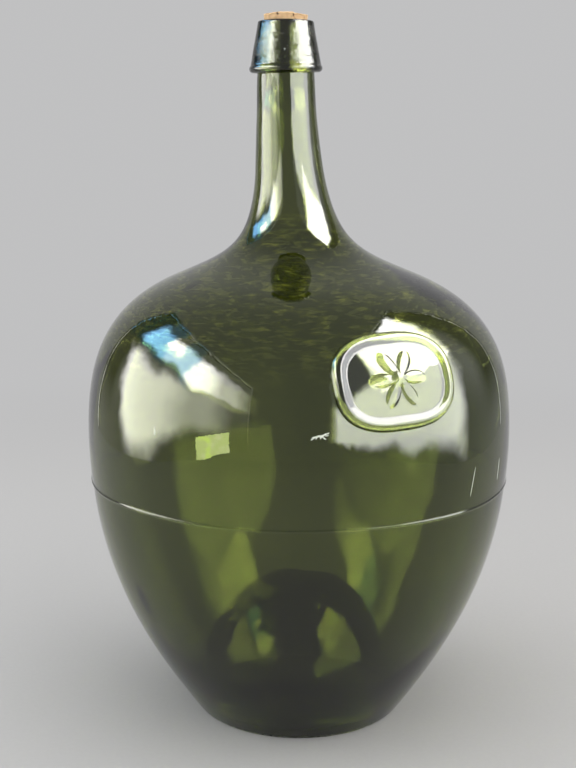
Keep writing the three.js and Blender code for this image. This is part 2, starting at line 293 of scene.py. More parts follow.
def wall_thickness(height):
    heel_share = 1 - smooth(height, HEEL_HEIGHT, HEEL_WALL_END_HEIGHT)
    neck_share = smooth(height, NECK_WALL_START_HEIGHT, NECK_ROOT_HEIGHT)
    return BODY_WALL + (HEEL_WALL - BODY_WALL) * heel_share + (NECK_WALL - BODY_WALL) * neck_share


def arc(centre, radius, start, end, steps):
    """Points of a round stretch from one angle to another, in degrees."""
    return [centre + direction(start + (end - start) * step / steps) * radius for step in range(steps + 1)]


def mould_line_heights():
    """Extra heights that give the mould's line its rounded crest."""
    reach = 1.8 * MOULD_LINE_WIDTH
    steps = MOULD_LINE_STEPS
    return [MOULD_LINE_HEIGHT + reach * (2 * step / steps - 1) for step in range(steps + 1)]


def outside_profile():
    heights = mould_line_heights()
    kept = [point for point in outside_points(*OUTSIDE_STEPS) if point.y < MOUTH_HEIGHT - MOUTH_ROUNDING]
    kept = [point for point in kept if not heights[0] <= point.y <= heights[-1]]
    kept += [at(outside_radius(height), height) for height in heights]
    return sorted(kept, key=lambda point: point.y)


def mouth_profile():
    """The rounded end of the neck and the tapered bore, down to the throat."""
    outer = at(outside_radius(MOUTH_HEIGHT) - MOUTH_ROUNDING, MOUTH_HEIGHT - MOUTH_ROUNDING)
    inner = at(BORE_MOUTH_RADIUS + MOUTH_ROUNDING, MOUTH_HEIGHT - MOUTH_ROUNDING)
    bore_top = at(BORE_MOUTH_RADIUS, MOUTH_HEIGHT - MOUTH_ROUNDING)
    throat = at(BORE_THROAT_RADIUS, THROAT_HEIGHT)
    rounded = arc(outer, MOUTH_ROUNDING, 0, 90, MOUTH_ROUNDING_STEPS)
    rounded += arc(inner, MOUTH_ROUNDING, 90, 180, MOUTH_ROUNDING_STEPS)
    return rounded + [bore_top.lerp(throat, step / BORE_STEPS) for step in range(1, BORE_STEPS + 1)]


def inside_profile():
    """The inside of the wall, from the throat down to the groove round the kick."""
    points = outside_points(*INSIDE_STEPS)
    lowest = GROOVE_HEIGHT + GROOVE_ROUNDING + HEEL_WALL
    inside = []
    for before, point, after in zip(points, points[1:], points[2:]):
        way = (after - before).normalized()
        moved = point + at(-way.y, way.x) * wall_thickness(point.y)
        if lowest < moved.y < THROAT_HEIGHT - BORE_BLEND:
            inside.append(moved)
    top = inside[-1]
    throat = at(BORE_THROAT_RADIUS, THROAT_HEIGHT)
    top_way = (inside[-2] - top).normalized()
    swell = BORE_BLEND / 2
    narrowing = stretch(throat, direction(-90), swell, top, top_way, swell, BORE_BLEND_STEPS)
    return narrowing[1:-1] + inside[::-1]


def kick_inside():
    """The inside of the kick, from the groove to the axis."""
    groove_edge = at(GROOVE_RADIUS - GROOVE_ROUNDING, GROOVE_HEIGHT + GROOVE_ROUNDING)
    groove = arc(at(GROOVE_RADIUS, groove_edge.y), GROOVE_ROUNDING, 0, -180, GROOVE_STEPS)
    crown = at(0, KICK_HEIGHT + KICK_WALL)
    side = interpolate_bezier(
        groove_edge,
        at(groove_edge.x - GROOVE_ROUNDING, groove_edge.y + KICK_SIDE_SWELL),
        at(KICK_CROWN + KICK_INSIDE_WIDENING, crown.y),
        crown,
        KICK_INSIDE_POINTS,
    )
    return groove + side[1:]


def kick_underside():
    """The underside of the kick, from the axis to the resting ring."""
    crown = at(0, KICK_HEIGHT)
    ring = at(RING_RADIUS - RING_WIDTH / 2, 0)
    side = interpolate_bezier(
        crown,
        at(KICK_CROWN, KICK_HEIGHT),
        at(ring.x - KICK_SIDE_DRAFT, KICK_SIDE_SWELL),
        ring,
        KICK_UNDERSIDE_POINTS,
    )
    return side + [at(RING_RADIUS, 0)]


# Unevenness of the blown glass: amplitude, length across and length up of each wave
OUTSIDE_WAVES = (
    (0.40 * MM, 95 * MM, 120 * MM),
    (0.09 * MM, 34 * MM, 30 * MM),
)
INSIDE_WAVES = (
    (1.10 * MM, 75 * MM, 85 * MM),
    (0.36 * MM, 26 * MM, 32 * MM),
    (0.07 * MM, 12 * MM, 15 * MM),
)
NECK_WAVES = (
    (0.26 * MM, 22 * MM, 34 * MM),
    (0.12 * MM, 12 * MM, 17 * MM),
    (0.03 * MM, 4.5 * MM, 40 * MM),
)
KICK_WAVES = (
    (0.60 * MM, 17 * MM, 17 * MM),
    (0.20 * MM, 7 * MM, 7 * MM),
)
SHOULDER_RIPPLE = (0.035 * MM, 30 * MM, 9 * MM)
SHOULDER_RIPPLE_START = (285 * MM, 315 * MM)
SHOULDER_RIPPLE_END = (400 * MM, 440 * MM)

# The waves fade out over this height above the floor and below the lip, and most of them in the neck
WAVE_FADE = 30 * MM
INSIDE_WAVES_START = (GROOVE_HEIGHT, 60 * MM)
KICK_WAVES_START = (45 * MM, 80 * MM)
NECK_START_HEIGHT = 360 * MM
NECK_END_HEIGHT = 430 * MM
NECK_CALM = 0.75


def wave(place, amplitude, across, up):
    """Even noise of one amplitude, length across and length up."""
    return amplitude * noise.noise(Vector((place.x / across, place.y / across, place.z / up)))


def shoulder_share(height):
    return smooth(height, *SHOULDER_RIPPLE_START) * (1 - smooth(height, *SHOULDER_RIPPLE_END))


def outside_wave(place):
    """How far the outside stands off its even shape, never outwards."""
    rise = sum(wave(place, *size) - size[0] for size in OUTSIDE_WAVES)
    rise += shoulder_share(place.z) * (wave(place, *SHOULDER_RIPPLE) - SHOULDER_RIPPLE[0])
    free = smooth(place.z, 0, WAVE_FADE) * (1 - smooth(place.z, LIP_FOOT_HEIGHT - WAVE_FADE, LIP_FOOT_HEIGHT))
    slender = smooth(place.z, NECK_START_HEIGHT, NECK_END_HEIGHT)
    neck_rise = sum(wave(place, *size) - size[0] for size in NECK_WAVES)
    return free * ((1 - NECK_CALM * slender) * rise + slender * neck_rise)


def mould_line_rise(place):
    """The crest of the mould line, higher at the sides, and the ledge that fades below it."""
    wobble = MOULD_LINE_WOBBLE * noise.noise(place * 14)
    off = (place.z - MOULD_LINE_HEIGHT - wobble) / (MOULD_LINE_WIDTH / 2)
    sideways = abs(place.x) / BODY_RADIUS
    height = 0.45 + 0.4 * smooth(sideways, 0.1, 0.8) + 0.25 * noise.noise(place * 17 + UP)
    below = MOULD_LINE_HEIGHT + wobble - place.z
    ledge = smooth(below, *MOULD_LEDGE_EDGE) * math.exp(-max(0, below) / MOULD_LEDGE_REACH)
    return MOULD_LINE_RELIEF * max(0, height) * math.exp(-off * off) - MOULD_LEDGE_DEPTH * ledge


def inside_wave(place):
    shifted = place + UP
    free = smooth(place.z, *INSIDE_WAVES_START)
    free *= 1 - smooth(place.z, NECK_END_HEIGHT, THROAT_HEIGHT - BORE_BLEND)
    return free * sum(wave(shifted, *size) for size in INSIDE_WAVES)


def kick_wave(place):
    """Folds in the top of the kick, where the tool pushed the soft glass up."""
    free = smooth(place.z, *KICK_WAVES_START)
    return free * sum(wave(place, *size) for size in KICK_WAVES)


def pontil_scar(place):
    """The ring of rough glass that the pontil rod left under the kick."""
    from_ring = place.xy.length - PONTIL_MARK_RADIUS + PONTIL_MARK_WIDTH / 2
    ring = math.exp(-((2 * from_ring / PONTIL_MARK_WIDTH) ** 2))
    ragged = 0.65 + 0.5 * noise.noise(place * 160) + 0.3 * noise.noise(place * 420)
    return PONTIL_MARK_RELIEF * ring * max(0, ragged)


# Placing things on the glass

def outside_by(point):
    """How far a point stands off the even outside."""
    return Vector((point.x - neck_shift(point.z), point.y)).length - outside_radius(point.z)


def glass_normal(point):
    step = 0.5 * MM
    slopes = []
    for axis in (Vector((step, 0, 0)), Vector((0, step, 0)), Vector((0, 0, step))):
        slopes.append(outside_by(point + axis) - outside_by(point - axis))
    return Vector(slopes).normalized()


def place_on_glass(azimuth, height, tilt=0):
    """A place on the glass as a matrix: across it, up it, out of it, and where it is."""
    around = direction(azimuth)
    radius = outside_radius(height)
    centre = Vector((neck_shift(height) + radius * around.x, radius * around.y, height))
    out = glass_normal(centre)
    across = UP.cross(out).normalized()
    turn = Matrix.Rotation(math.radians(tilt), 3, out)
    across = turn @ across
    up = out.cross(across)
    return Matrix.Translation(centre) @ Matrix((across, up, out)).transposed().to_4x4()


def lay(place, flat):
    """Lays a flat point on the uneven glass. Gives the place on it and the way it faces."""
    point = place @ Vector((flat.x, flat.y, 0))
    out = place.col[2].xyz
    facing = glass_normal(point)
    for _ in range(3):
        point -= out * (outside_by(point) / facing.dot(out))
    facing = glass_normal(point)
    return point + facing * outside_wave(point), facing


# Making meshes

def new_bmesh_ring(profile, sides, closed=False):
    """Turns a profile of radii and heights about the Z axis into a bmesh."""
    bm = bmesh.new()
    rail = [bm.verts.new((point.x, 0, point.y)) for point in profile]
    edges = [bm.edges.new(pair) for pair in zip(rail, rail[1:])]
    if closed:
        edges.append(bm.edges.new((rail[-1], rail[0])))
    bmesh.ops.spin(
        bm,
        geom=rail + edges,
        axis=(0, 0, 1),
        cent=(0, 0, 0),
        angle=math.tau,
        steps=sides,
        use_merge=True,
        use_duplicate=False,
    )
    bmesh.ops.remove_doubles(bm, verts=bm.verts, dist=1e-6)
    bmesh.ops.recalc_face_normals(bm, faces=bm.faces)
    bm.normal_update()
    return bm


def thicken(bm, lifts, depth):
    """Gives a sheet a back at one depth and lifts each point of its front by its own amount."""
    extruded = bmesh.ops.extrude_face_region(bm, geom=bm.faces[:], use_keep_orig=True)
    back = [part for part in extruded["geom"] if isinstance(part, bmesh.types.BMVert)]
    sheet = {tuple(vert.co): lift for vert, lift in lifts.items()}
    for vert in back:
        facing, _ = sheet[tuple(vert.co)]
        vert.co += facing * depth
    for vert, (facing, lift) in lifts.items():
        vert.co += facing * lift
    bmesh.ops.recalc_face_normals(bm, faces=bm.faces)


def finished(name, bm, material, body, slot, *nodes):
    """Makes the bmesh a piece that rides on a body and stands for some CAD nodes."""
    mesh = bpy.data.meshes.new(name)
    bm.to_mesh(mesh)
    bm.free()
    mesh.polygons.foreach_set("use_smooth", [True] * len(mesh.polygons))
    mesh.materials.append(material)
    piece = bpy.data.objects.new(name, mesh)
    bpy.context.scene.collection.objects.link(piece)
    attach(piece, body)
    if nodes:
        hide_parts(*nodes)


# Materials

class Varying:
    """A number that varies over a surface. Arithmetic on it adds Math nodes."""

    def __init__(self, finish, socket):
        self.finish = finish
        self.socket = socket

    def math(self, operation, *values):
        inputs = dict(enumerate(values))
        return self.finish.node("ShaderNodeMath", {"operation": operation}, inputs)

    def __add__(self, other):
        return self.math("ADD", self, other)

    def __sub__(self, other):
        return self.math("SUBTRACT", self, other)

    def __rsub__(self, other):
        return self.math("SUBTRACT", other, self)

    def __mul__(self, other):
        return self.math("MULTIPLY", self, other)

    __radd__ = __add__
    __rmul__ = __mul__


class Finish:
    """One material and its nodes."""

    def __init__(self, name):
        self.material = bpy.data.materials.new(name)
        self.material.use_nodes = True
        self.tree = self.material.node_tree
        self.tree.nodes.clear()
        self.output = self.tree.nodes.new("ShaderNodeOutputMaterial")

    def node(self, kind, settings=None, inputs=None, output=0):
        """Adds a node: its settings first, then the values or links of its sockets."""
        made = self.tree.nodes.new(kind)
        for name, value in (settings or {}).items():
            setattr(made, name, value)
        for name, value in (inputs or {}).items():
            if isinstance(value, Varying):
                self.tree.links.new(value.socket, made.inputs[name])
            else:
                made.inputs[name].default_value = value
        return Varying(self, made.outputs[output])

    def place(self):
        return self.node("ShaderNodeTexCoord", output="Object")

    def stretched(self, place, scale, turn=(0, 0, 0)):
        """A place stretched by a scale for each axis and turned, so that a pattern on it is too."""
        return self.node("ShaderNodeMapping", inputs={"Vector": place, "Scale": scale, "Rotation": turn})

    def split(self, place):
        """The x, y and z of a place."""
        node = self.node("ShaderNodeSeparateXYZ", inputs={"Vector": place})
        outputs = node.socket.node.outputs
        return [Varying(self, outputs[index]) for index in range(3)]

    def noise(self, place, scale, detail=2, roughness=0.5, distortion=0):
        """Even noise with so many features in a metre."""
        sockets = {
            "Vector": place,
            "Scale": scale,
            "Detail": detail,
            "Roughness": roughness,
            "Distortion": distortion,
        }
        return self.node("ShaderNodeTexNoise", inputs=sockets)

    def streaks(self, place, scale, turn=(0, 0, 0), **look):
        """Noise with so many features in a metre along each axis."""
        return self.noise(self.stretched(place, scale, turn), 1.0, **look)

    def cells(self, place, scale):
        """How far a place is from the middle of its cell."""
        return self.node("ShaderNodeTexVoronoi", inputs={"Vector": place, "Scale": scale}, output="Distance")

    def rise(self, value, start, end, low=0, high=1):
        """Goes evenly from low to high as the value goes from start to end."""
        sockets = {0: value, 1: start, 2: end, 3: low, 4: high}
        return self.node("ShaderNodeMapRange", {"interpolation_type": "SMOOTHSTEP"}, sockets)

    def band(self, value, start, full, fade, end):
        """Goes from 0 at start to 1 at full, and back from 1 at fade to 0 at end."""
        return self.rise(value, start, full) * (1 - self.rise(value, fade, end))

    def mixed(self, share, first, second):
        return self.node("ShaderNodeMix", {"data_type": "RGBA"}, {0: share, 6: first, 7: second}, 2)

    def bump(self, height, distance):
        return self.node("ShaderNodeBump", inputs={"Height": height, "Distance": distance, "Strength": 1.0})

    def surface(self, **sockets):
        inputs = {}
        for name, value in sockets.items():
            inputs[name.replace("_", " ").title().replace("Ior", "IOR")] = value
        shader = self.node("ShaderNodeBsdfPrincipled", inputs=inputs)
        self.tree.links.new(shader.socket, self.output.inputs["Surface"])
        return self.material

    def volume(self, colour, density):
        shader = self.node("ShaderNodeVolumeAbsorption", inputs={"Color": colour, "Density": density})
        self.tree.links.new(shader.socket, self.output.inputs["Volume"])


# Olive green glass: the tint of each wall, and what its thickness takes out besides, per metre
WALL_TINT = (0.32, 0.35, 0.15, 1)
STREAK_TINT = (0.23, 0.26, 0.096, 1)
# The pale tint is the glass's flecks, and also a painted glow where light shines through the drips at the
# lip's foot.
FLECK_AND_GLOW_TINT = (0.82, 0.82, 0.30, 1)
DEPTH_TINT = (0.28, 0.33, 0.05, 1)
DEPTH_DENSITY = 100
GLASS_IOR = 1.52

# Heights between which the shoulder has its flecks and ripples
FLECKED_SHOULDER = (270 * MM, 310 * MM, 355 * MM, 390 * MM)
# Heights over which the draw lines of the neck begin and the scuffs of the resting ring end
DRAW_LINES_START = (370 * MM, 420 * MM)
FOOT_SCUFFS_END = (0.8 * MM, 4 * MM)
# Heights above the foot of the lip over which the painted glow of the drips in its rim ends
DRIP_GLOW_END = (5 * MM, 9 * MM)


def glass(finish, roughness, normal, streaks, flecks=0):
    """Clear green glass, darker in its streaks and paler in its flecks and in its painted glow."""
    finish.volume(DEPTH_TINT, DEPTH_DENSITY)
    streaked = finish.mixed(streaks, WALL_TINT, STREAK_TINT)
    return finish.surface(
        base_color=finish.mixed(flecks, streaked, FLECK_AND_GLOW_TINT),
        roughness=roughness,
        ior=GLASS_IOR,
        transmission_weight=1.0,
        normal=normal,
    )


def blown_glass():
    finish = Finish("olive_blown_glass")
    place = finish.place()
    height = finish.split(place)[2]
    streaks = finish.streaks(place, (9, 9, 2.2), detail=4, distortion=0.6)
    shoulder = finish.band(height, *FLECKED_SHOULDER)
    ripple = finish.streaks(place, (26, 26, 150), detail=3, roughness=0.6, distortion=0.4)
    flecks = finish.streaks(place, (85, 85, 400), detail=2, roughness=0.6, distortion=0.5)
    skin = finish.noise(place, 60, detail=2)
    draw_lines = finish.streaks(place, (300, 300, 7), detail=2) * finish.rise(height, *DRAW_LINES_START)
    relief = ripple * shoulder + 0.12 * skin + 0.9 * draw_lines
    dust = finish.noise(place, 35, detail=6, roughness=0.7)
    foot = 1 - finish.rise(height, *FOOT_SCUFFS_END)
    rubbed = foot * finish.rise(finish.noise(place, 400, detail=4), 0.35, 0.6)
    roughness = 0.012 + 0.03 * finish.rise(dust, 0.5, 0.75) + 0.4 * rubbed
    normal = finish.bump(relief, 0.10 * MM)
    fleck = shoulder * finish.rise(flecks, 0.54, 0.60)
    dark = streaks.math("MAXIMUM", finish.rise(streaks, 0.40, 0.75) * 0.8, shoulder * 0.9)
    return glass(finish, roughness, normal, dark, fleck)


def tooled_glass():
    finish = Finish("olive_tooled_glass")
    place = finish.place()
    height = finish.split(place)[2]
    tool_marks = finish.streaks(place, (30, 30, 420), detail=3, roughness=0.6)
    chafing = finish.streaks(place, (420, 420, 260), turn=(0.5, 0.3, 0), detail=5, roughness=0.7)
    scratches = finish.rise(chafing, 0.55, 0.72)
    wear = finish.rise(finish.noise(place, 90, detail=3), 0.42, 0.60)
    chill = finish.noise(place, 480, detail=3, roughness=0.6)
    relief = 0.14 * tool_marks + 0.2 * scratches * wear + (0.2 + 0.5 * wear) * chill
    roughness = 0.05 + 0.26 * scratches * wear
    normal = finish.bump(relief, 0.5 * MM)
    streaks = finish.streaks(place, (30, 30, 60), detail=3)
    # Patches of the rim's foot get the pale tint: a painted glow of the light that shines through its drips.
    rim = 1 - finish.rise(height, *(LIP_FOOT_HEIGHT + above for above in DRIP_GLOW_END))
    drip_glow = rim * finish.rise(finish.noise(place, 110, detail=2), 0.48, 0.58)
    return glass(finish, roughness, normal, finish.rise(streaks, 0.45, 0.75) * 0.4, drip_glow)


def stamped_glass():
    finish = Finish("olive_stamped_glass")
    place = finish.place()
    chill = finish.noise(place, 190, detail=4, roughness=0.6)
    swirl = finish.noise(place, 42, detail=2, distortion=0.8)
    rubbed = finish.rise(finish.noise(place, 260, detail=5), 0.55, 0.75)
    normal = finish.bump(0.25 * chill + 0.5 * swirl, 0.10 * MM)
    return glass(finish, 0.02 + 0.06 * rubbed, normal, finish.rise(swirl, 0.4, 0.8) * 0.3)


CRUSHED_WHITE = (0.92, 0.95, 0.88, 1)
CRUSHED_GREEN = (0.74, 0.80, 0.66, 1)


def crushed_glass():
    finish = Finish("crushed_glass")
    glint = finish.noise(finish.place(), 900, detail=3)
    return finish.surface(
        base_color=finish.mixed(glint, CRUSHED_WHITE, CRUSHED_GREEN),
        roughness=0.25 + 0.2 * glint,
        normal=finish.bump(glint, 0.2 * MM),
    )


CORK_PALE = (0.88, 0.62, 0.36, 1)
CORK_TAN = (0.68, 0.43, 0.21, 1)
CORK_BARK = (0.36, 0.18, 0.075, 1)
CORK_PORE = (0.10, 0.045, 0.018, 1)
CORK_LAYERS_TURN = (0, 0, 0.6)


def natural_cork():
    finish = Finish("natural_cork")
    place = finish.place()
    grain = finish.noise(finish.stretched(place, (1, 1, 1.7)), 260, detail=5, roughness=0.65)
    bark = finish.noise(finish.stretched(place, (1, 3.2, 1), CORK_LAYERS_TURN), 75, detail=4, distortion=0.8)
    from_pore = finish.cells(finish.stretched(place, (1, 2.2, 1), CORK_LAYERS_TURN), 210)
    pores = 1 - finish.rise(from_pore, 0.12, 0.34)
    pale = finish.mixed(grain, CORK_PALE, CORK_TAN)
    banded = finish.mixed(finish.rise(bark, 0.52, 0.7) * 0.55, pale, CORK_BARK)
    pitted = finish.mixed(pores * finish.rise(bark, 0.42, 0.6), banded, CORK_PORE)
    relief = 0.6 * grain - 1.4 * pores * finish.rise(bark, 0.42, 0.6)
    return finish.surface(
        base_color=pitted,
        roughness=0.78 + 0.15 * grain,
        normal=finish.bump(relief, 0.35 * MM),
    )


TAG_LIGHT = (0.44, 0.52, 0.17, 1)
TAG_DARK = (0.36, 0.44, 0.125, 1)
TAG_FADED = (0.50, 0.54, 0.27, 1)
TAG_DAMP = (0.47, 0.62, 0.11, 1)


def tag_paper():
    finish = Finish("tag_paper")
    place = finish.place()
    fibres = finish.noise(finish.stretched(place, (1, 1, 2.5), (0.4, 0, 0.3)), 900, detail=4, roughness=0.7)
    stain = finish.noise(place, 120, detail=3)
    wet = finish.noise(place, 75, detail=2)
    plain = finish.mixed(fibres, TAG_LIGHT, TAG_DARK)
    aged = finish.mixed(finish.rise(stain, 0.45, 0.7) * 0.6, plain, TAG_FADED)
    damp = finish.mixed(finish.rise(wet, 0.52, 0.66), aged, TAG_DAMP)
    return finish.surface(
        base_color=damp,
        roughness=0.72 + 0.15 * fibres,
        normal=finish.bump(fibres, 0.05 * MM),
    )


# Bubbles caught in the glass: azimuth, height, length, thickness and tilt of each, in millimetres and degrees
LONG_SEEDS = (
    (-82.1, 170, 9, 0.7, 0),
    (-60, 150, 6, 0.6, 10),
    (-128, 262, 5, 0.6, 20),
    (35, 240, 14, 0.9, -10),
    (100, 190, 10, 0.8, 12),
    (160, 255, 12, 0.8, 5),
)

# The small ones: how many, and the ranges of their sizes, the lengths in widths
SMALL_SEEDS = 46
SMALL_SEED_HEIGHTS = (70 * MM, 400 * MM)
SMALL_SEED_WIDTHS = (0.35, 1.0)
SMALL_SEED_LENGTHS = (1.0, 2.6)
SMALL_SEED_DEPTHS = (1.6, 2.6)
SMALL_SEED_TURNS = (-20, 20)

# The star-shaped bruise: where it is, and its thin cracks, each with its place across and up,
# its length and its turn
BRUISE_AZIMUTH = -85.1
BRUISE_HEIGHT = 246.8
BRUISE_CRACKS = (
    (-4.6, -1.5, 3.2, 30),
    (-3.3, -0.4, 4.4, 12),
    (-2.2, -0.8, 2.6, 75),
    (-1.0, -0.2, 4.6, 22),
    (0.2, 0.3, 4.2, -8),
    (0.8, -0.4, 3.4, 66),
    (1.6, 0.3, 4.4, 28),
    (2.4, -1.0, 3.8, -36),
    (2.9, 1.0, 3.0, 50),
    (4.3, 1.4, 4.0, 24),
    (4.4, 0.3, 2.6, 6),
)
CRACK_WIDTH = 0.7 * MM
CRACK_THICKNESS = 0.4 * MM
CRACK_ROUGHNESS = 0.3 * MM
CRACK_GRAIN = 1500

# Long scratches in the skin: azimuth, height, length and tilt of each
SCRATCHES = (
    (-41.6, 203, 21, -12),
    (-27.0, 203, 16, -8),
    (-127, 243, 5, 4),
    (48, 226, 15, 9),
    (150, 196, 12, -14),
)
SCRATCH_WIDTH = 0.55 * MM
SCRATCH_THICKNESS = 0.3 * MM


def add_bubble(bm, place, depth, turn, sizes):
    """Adds a hollow in the glass, an egg of three sizes that lies below a place."""
    spot = place @ Matrix.Translation((0, 0, -depth)) @ Matrix.Rotation(math.radians(turn), 4, "Z")
    matrix = spot @ Matrix.Diagonal((*sizes, 1))
    made = bmesh.ops.create_icosphere(bm, subdivisions=2, radius=0.5, matrix=matrix)
    faces = {face for vert in made["verts"] for face in vert.link_faces}
    bmesh.ops.reverse_faces(bm, faces=list(faces))


def add_seeds(bm):
    for azimuth, height, length, thickness, tilt in LONG_SEEDS:
        place = place_on_glass(azimuth, height * MM)
        depth = (1.1 + 0.5 * thickness) * MM
        add_bubble(bm, place, depth, tilt, (thickness * MM, length * MM, thickness * MM))
    chance = random.Random(7)
    for _ in range(SMALL_SEEDS):
        place = place_on_glass(chance.uniform(-180, 180), chance.uniform(*SMALL_SEED_HEIGHTS))
        width = chance.uniform(*SMALL_SEED_WIDTHS) * MM
        drawn_out = chance.uniform(*SMALL_SEED_LENGTHS)
        depth = chance.uniform(*SMALL_SEED_DEPTHS) * MM
        turn = chance.uniform(*SMALL_SEED_TURNS)
        add_bubble(bm, place, depth, turn, (width, width * drawn_out, width))


def add_sliver(bm, place, flat, turn, sizes):
    """Adds a sliver of crushed glass that lies in the skin of the wall."""
    point, _ = lay(place, flat)
    spot = Matrix.Translation(point - place.translation) @ place @ Matrix.Rotation(math.radians(turn), 4, "Z")
    matrix = spot @ Matrix.Diagonal((*sizes, 1))
    bmesh.ops.create_icosphere(bm, subdivisions=3, radius=0.5, matrix=matrix)


def jitter(point):
    """Even noise at three places, one for each axis."""
    return Vector((noise.noise(point), noise.noise(point + 5 * UP), noise.noise(point + 9 * UP)))


def bruise_marks():
    """The star-shaped bruise on the front and the long scratches."""
    bm = bmesh.new()
    place = place_on_glass(BRUISE_AZIMUTH, BRUISE_HEIGHT * MM)
    for across, up, length, turn in BRUISE_CRACKS:
        add_sliver(bm, place, at(across * MM, up * MM), turn, (length * MM, CRACK_WIDTH, CRACK_THICKNESS))
    for vert in bm.verts:
        vert.co += jitter(vert.co * CRACK_GRAIN) * CRACK_ROUGHNESS
    for azimuth, height, length, tilt in SCRATCHES:
        place = place_on_glass(azimuth, height * MM)
        add_sliver(bm, place, at(0, 0), tilt, (SCRATCH_WIDTH, length * MM, SCRATCH_THICKNESS))
    bmesh.ops.recalc_face_normals(bm, faces=bm.faces)
    finished("bruise_marks", bm, crushed_glass(), "bottle", "green_glass")


def make_uneven(vert):
    """Moves a point of the even vessel to its place in the blown one."""
    place = vert.co.copy()
    radius = place.xy.length
    depth = outside_radius(place.z) - radius
    if radius < RING_RADIUS and place.z < KICK_HEIGHT + 1 * MM and vert.normal.z < 0:
        if place.z > PONTIL_MARK_FOOT_HEIGHT:
            vert.co.z -= pontil_scar(place)
    elif depth < 1 * MM and place.z > 0.5 * MM:
        vert.co += vert.normal * (outside_wave(place) + mould_line_rise(place))
    elif place.z < THROAT_HEIGHT:
        vert.co += vert.normal * inside_wave(place)
        if radius < GROOVE_RADIUS and place.z < KICK_HEIGHT + KICK_WALL + 1 * MM:
            vert.co += vert.normal * kick_wave(place)
    vert.co.x += neck_shift(place.z)


def blown_bottle():
    profile = kick_underside() + outside_profile() + mouth_profile() + inside_profile() + kick_inside()
    bm = new_bmesh_ring(profile, VESSEL_SIDES)
    for vert in bm.verts:
        make_uneven(vert)
    add_seeds(bm)
    finished("blown_bottle", bm, blown_glass(), "bottle", "green_glass", "glass_vessel")


def lip_band():
    """The tapered collar, rolled at its foot and a little uneven all round."""
    neck_foot = outside_radius(LIP_FOOT_HEIGHT)
    rounding = LIP_SKIRT_ROUNDING
    skirt = at(neck_foot + LIP_SKIRT_THICKNESS - rounding, LIP_FOOT_HEIGHT + rounding)
    rim = at(NECK_MOUTH_RADIUS + LIP_RIM_THICKNESS - LIP_RIM_ROUNDING, MOUTH_HEIGHT - LIP_RIM_ROUNDING)
    skirt_round = arc(skirt, rounding, -90, LIP_SKIRT_ROLL, LIP_SKIRT_STEPS)
    rim_round = arc(rim, LIP_RIM_ROUNDING, 0, 90, LIP_RIM_STEPS)
    face = [skirt_round[-1].lerp(rim_round[0], step / LIP_FACE_STEPS) for step in range(1, LIP_FACE_STEPS)]
    inner_top = at(NECK_MOUTH_RADIUS - FUSED_DEPTH, MOUTH_HEIGHT - 2 * LIP_RIM_ROUNDING)
    inner_foot = at(neck_foot - FUSED_DEPTH, LIP_FOOT_HEIGHT + 0.5 * rounding)
    inside = [inner_top.lerp(inner_foot, step / LIP_INSIDE_STEPS) for step in range(LIP_INSIDE_STEPS + 1)]
    foot = stretch(inner_foot, direction(-45), 1 * MM, skirt_round[0], direction(0), 1 * MM, LIP_FOOT_STEPS)
    profile = skirt_round + face + rim_round + inside + foot[1:-1]
    bm = new_bmesh_ring(profile, LIP_SIDES, closed=True)
    for vert in bm.verts:
        place = vert.co.copy()
        around = math.atan2(place.y, place.x)
        low = 1 - smooth(place.z, LIP_FOOT_HEIGHT, LIP_FOOT_HEIGHT + LIP_SAG_HEIGHT)
        if place.xy.length > outside_radius(place.z):
            front = math.exp(-(((around + math.pi / 2) / 0.55) ** 2))
            uneven = 0.9 + 0.6 * math.sin(around + 0.8) + 0.35 * math.sin(3 * around) - 0.8 * front
            vert.co.z += max(0, uneven) * MM * low
            dent = wave(place, *LIP_DENT) - LIP_DENT[0]
            vert.co += vert.normal * dent * smooth(place.z, LIP_FOOT_HEIGHT, LIP_FOOT_HEIGHT + LIP_DENT_START)
        vert.co.x -= NECK_LEAN
    finished("lip_band", bm, tooled_glass(), "bottle", "green_glass", "applied_lip")


def rosette(flat):
    """Raised petals round a boss."""
    from_middle = flat.length
    angle = math.atan2(flat.y, flat.x)
    petal = abs(math.cos(ROSETTE_PETALS / 2 * angle))
    reach = ROSETTE_RADIUS * (ROSETTE_PETAL_WAIST + (1 - ROSETTE_PETAL_WAIST) * petal)
    petals = ROSETTE_RELIEF * max(0, 1 - (from_middle / reach) ** 3)
    boss = ROSETTE_BOSS_RELIEF * max(0, 1 - (from_middle / ROSETTE_BOSS_RADIUS) ** 2)
    return petals + boss


def seal_relief(flat, from_edge):
    """Thickness of the seal: a pad, a bead round it and the rosette."""
    rim_share = min(1, from_edge / SEAL_RIM_WIDTH)
    pad = SEAL_PAD * rim_share * (2 - rim_share)
    bead_share = min(1, from_edge / SEAL_BEAD_WIDTH)
    bead = SEAL_BEAD_RELIEF * math.sin(math.pi * bead_share) ** 1.3
    return pad + bead + rosette(flat)


def seal_edge(way):
    """How far the edge of the seal is from its middle in one direction."""
    across = abs(way.x / (SEAL_WIDTH / 2)) ** SEAL_SQUARENESS
    up = abs(way.y / (SEAL_HEIGHT / 2)) ** SEAL_SQUARENESS
    return (across + up) ** (-1 / SEAL_SQUARENESS)


def stamped_seal():
    place = place_on_glass(SEAL_AZIMUTH, SEAL_CENTRE_HEIGHT, SEAL_TILT)
    rings = [at(ring / SEAL_RINGS, 0) for ring in range(SEAL_RINGS + 1)]
    bm = new_bmesh_ring(rings, SEAL_SECTORS)
    lifts = {}
    for vert in bm.verts:
        share = vert.co.xy
        edge = seal_edge(share.normalized()) if share.length > 0 else 1
        flat = share * edge
        vert.co, facing = lay(place, flat)
        from_edge = edge * max(0, 1 - share.length)
        lifts[vert] = facing, seal_relief(flat, from_edge) - SEAL_SETTLING
    thicken(bm, lifts, -FUSED_DEPTH)
    finished("stamped_seal", bm, stamped_glass(), "bottle", "green_glass", "applied_seal")


